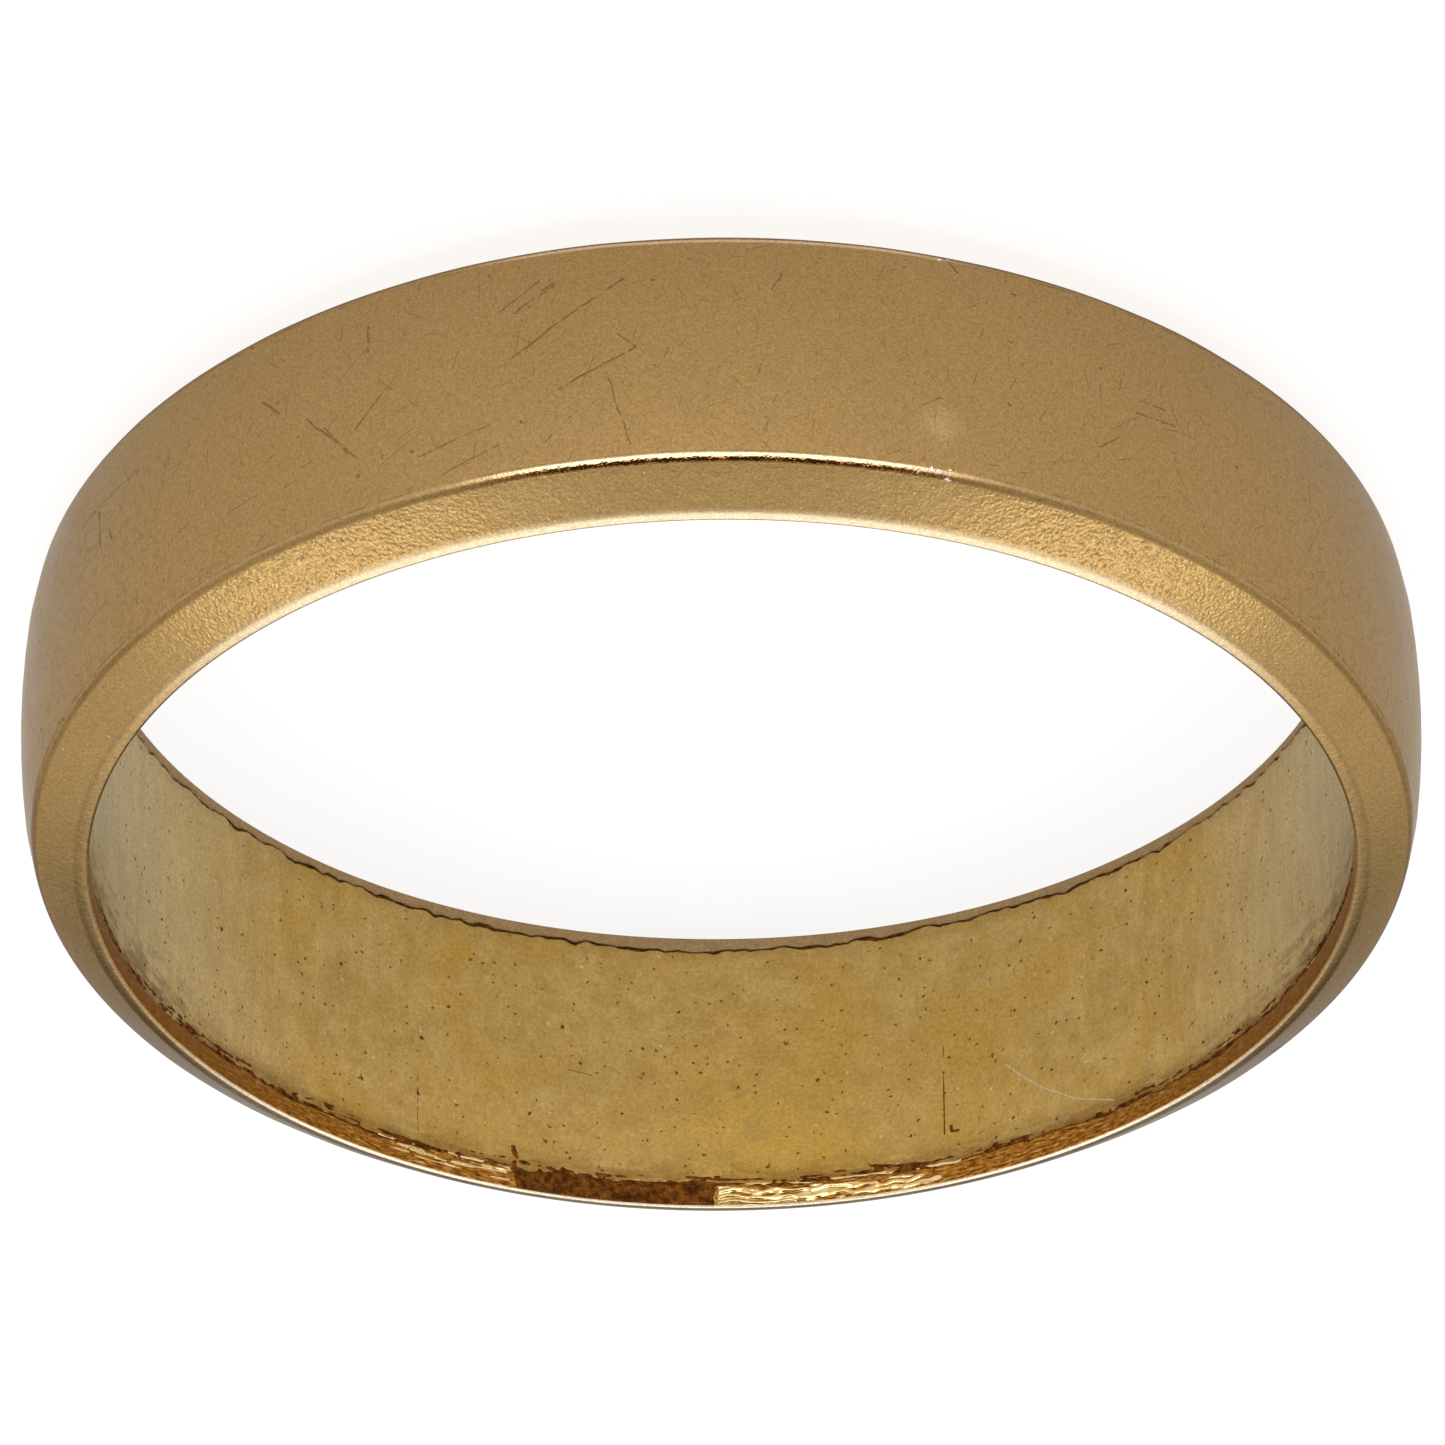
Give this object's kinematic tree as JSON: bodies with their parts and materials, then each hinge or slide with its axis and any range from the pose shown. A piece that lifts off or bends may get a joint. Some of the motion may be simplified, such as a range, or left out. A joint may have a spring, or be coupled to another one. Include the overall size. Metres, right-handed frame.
{
  "type": "wedding band",
  "caption": "Flat-court wedding band with a satin gold face, bevelled rims, and gold lips turned over a yellow metal core that lines the bore.",
  "frame": {"origin": "on the axis of the bore, half-way along the band's width, which is the centre of the whole band's box", "axes": "+Z along the bore towards the front rim, which has the longer turned-in lip; +X and +Y across the bore, with the shell's butt joint one degree from +Y"},
  "size_m": [0.0202, 0.0202, 0.0046],
  "materials": {
    "shell_gold": "satin rose-toned gold, frosted bevels",
    "core_metal": "worn yellow metal with fine pits",
    "seam_solder": "tarnished solder",
    "joint_solder": "bright solder"
  },
  "bodies": {
    "root": {"outer_shell": "shell_gold", "core_band": "core_metal", "front_solder_seam": "seam_solder", "back_solder_seam": "seam_solder", "shell_joint": "joint_solder", "core_joint": "joint_solder"}
  },
  "joints": []
}
